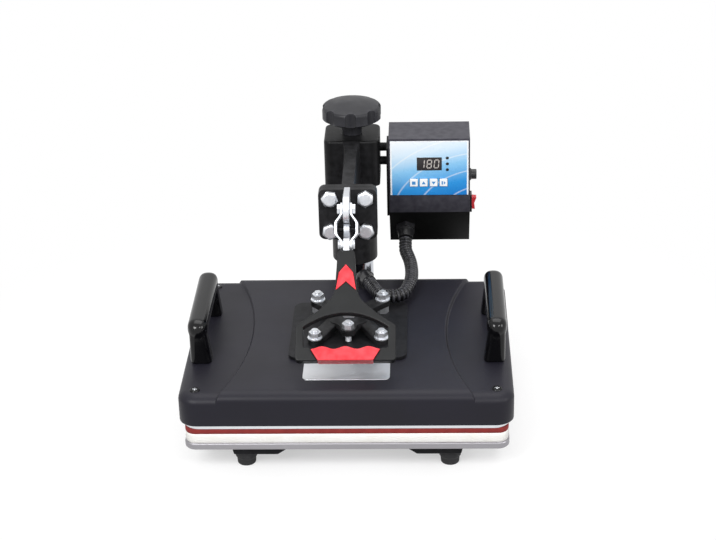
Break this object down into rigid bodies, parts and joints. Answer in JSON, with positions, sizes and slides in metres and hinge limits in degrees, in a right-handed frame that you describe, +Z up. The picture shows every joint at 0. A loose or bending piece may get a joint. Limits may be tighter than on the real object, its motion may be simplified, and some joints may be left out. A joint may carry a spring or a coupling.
{
  "type": "swing-away combo heat press",
  "caption": "Benchtop heat press: swing-away head on a chrome post, toggle lever with a red-gripped loop, covered heat platen over a cushioned lower platen, control box beside the column.",
  "frame": {"origin": "middle of the press's outline in plan, on the floor under its feet", "axes": "X to the operator's right, Y from the operator to the back, Z up; the lever and the platen's front edge face -Y"},
  "size_m": [0.39, 0.417, 0.3287],
  "materials": {
    "black_paint": "black powder coat, fine texture",
    "casting_paint": "black paint on a sand casting",
    "cover_paint": "charcoal powder coat, satin",
    "box_paint": "charcoal powder coat, satin",
    "post_chrome": "hard chrome on a ground tube",
    "zinc_steel": "bright zinc plate",
    "element_steel": "drawn steel sheath",
    "black_screw": "black oxide",
    "bronze": "sintered bronze, turned",
    "platen_aluminium": "cast aluminium, milled edge",
    "white_foam": "white heat-proof felt underlay",
    "red_silicone": "red-brown silicone sponge",
    "foot_rubber": "black moulded rubber",
    "knob_plastic": "dark grey moulded plastic, fine grain",
    "handle_plastic": "gloss black moulded plastic",
    "lever_plastic": "black moulded plastic over a steel core",
    "red_plastic": "coral red soft-touch plastic",
    "black_plastic": "black nylon",
    "hose_plastic": "black corrugated nylon conduit",
    "panel_film": "blue printed overlay film",
    "display_plastic": "dark window over a red figure display",
    "lens_plastic": "clear tinted lens",
    "button_plastic": "white moulded keys",
    "board_laminate": "green circuit board",
    "insulation_board": "pressed ceramic fibre board"
  },
  "bodies": {
    "base": {"leg_left": "black_paint", "leg_right": "black_paint", "feet": "foot_rubber", "post_plate": "black_paint", "post": "post_chrome", "post_bolts": "zinc_steel", "post_nut": "bronze", "lower_platen": "platen_aluminium", "underlay": "white_foam", "silicone_mat": "red_silicone"},
    "lift_collar": {"thrust_washer": "bronze"},
    "pressure_knob": {"pressure_knob": "knob_plastic", "pressure_screw": "zinc_steel"},
    "swing_head": {"arm_casting": "casting_paint", "post_bushes": "bronze", "bracket_plate": "casting_paint", "bracket_bolts": "zinc_steel", "toggle_tongue": "zinc_steel", "pivot_bolt": "zinc_steel", "guide_arm": "casting_paint", "guide_bush": "bronze", "box_bracket": "black_paint", "box_shell": "box_paint", "control_panel": "panel_film", "display_window": "display_plastic", "indicator_lenses": "lens_plastic", "control_board": "board_laminate", "fuse_holder": "black_plastic", "rocker_bezel": "black_plastic", "box_gland": "black_plastic", "hose": "hose_plastic"},
    "power_rocker": {"power_rocker": "red_plastic"},
    "button_1": {"button_1": "button_plastic"},
    "button_2": {"button_2": "button_plastic"},
    "button_3": {"button_3": "button_plastic"},
    "button_4": {"button_4": "button_plastic"},
    "platen": {"spindle": "zinc_steel", "spindle_nut": "zinc_steel", "spider": "casting_paint", "spider_studs": "zinc_steel", "levelling_screw": "zinc_steel", "mounting_plate": "black_paint", "cover": "cover_paint", "cover_screws": "black_screw", "heat_plate": "platen_aluminium", "insulation": "insulation_board", "heating_element": "element_steel", "thermocouple": "element_steel", "handle_left": "handle_plastic", "handle_right": "handle_plastic", "cover_gland": "black_plastic"},
    "lever": {"cheek_left": "zinc_steel", "cheek_right": "zinc_steel", "lever_loop": "lever_plastic", "lever_blade": "zinc_steel", "red_insert": "red_plastic", "finger_grip": "red_plastic", "lever_bolt": "zinc_steel", "link_pin": "black_screw"},
    "push_link": {"push_link": "zinc_steel"}
  },
  "joints": [
    {"name": "head_height", "type": "slide", "parent": "base", "child": "lift_collar", "axis": [0, 0, 1], "range_m": [0, 0.006]},
    {"name": "head_swing", "type": "hinge", "parent": "lift_collar", "child": "swing_head", "pos_m": [0, 0.1685, 0.195], "axis": [0, 0, 1], "range_deg": [-90, 90]},
    {"name": "knob_turn", "type": "hinge", "parent": "lift_collar", "child": "pressure_knob", "pos_m": [0, 0.1685, 0.305], "axis": [0, 0, 1], "range_deg": [-4, 1084]},
    {"name": "platen_lift", "type": "slide", "parent": "swing_head", "child": "platen", "axis": [0, 0, 1], "range_m": [0, 0.02], "deforming": ["hose"]},
    {"name": "lever_lift", "type": "hinge", "parent": "swing_head", "child": "lever", "pos_m": [0, -0.0475, 0.2737], "axis": [-1, 0, 0], "range_deg": [-0.5, 70.5]},
    {"name": "link_fold", "type": "hinge", "parent": "lever", "child": "push_link", "pos_m": [0, -0.0475, 0.2477], "axis": [1, 0, 0], "range_deg": [-0.5, 101.5]},
    {"name": "power_switch", "type": "hinge", "parent": "swing_head", "child": "power_rocker", "pos_m": [0.151, 0.1625, 0.1902], "axis": [0, -1, 0], "range_deg": [0, 14]},
    {"name": "button_1_press", "type": "slide", "parent": "swing_head", "child": "button_1", "axis": [0, 1, 0], "range_m": [0, 0.0008], "stiffness_N_per_m": 600},
    {"name": "button_2_press", "type": "slide", "parent": "swing_head", "child": "button_2", "axis": [0, 1, 0], "range_m": [0, 0.0008], "stiffness_N_per_m": 600},
    {"name": "button_3_press", "type": "slide", "parent": "swing_head", "child": "button_3", "axis": [0, 1, 0], "range_m": [0, 0.0008], "stiffness_N_per_m": 600},
    {"name": "button_4_press", "type": "slide", "parent": "swing_head", "child": "button_4", "axis": [0, 1, 0], "range_m": [0, 0.0008], "stiffness_N_per_m": 600}
  ],
  "couplings": [
    {"joint": "knob_turn", "follows": "head_height", "rad_per_m": 3141.6},
    {"joint": "lever_lift", "follows": "platen_lift", "rad_per_m": 61.087},
    {"joint": "link_fold", "follows": "platen_lift", "rad_per_m": 88.139}
  ]
}
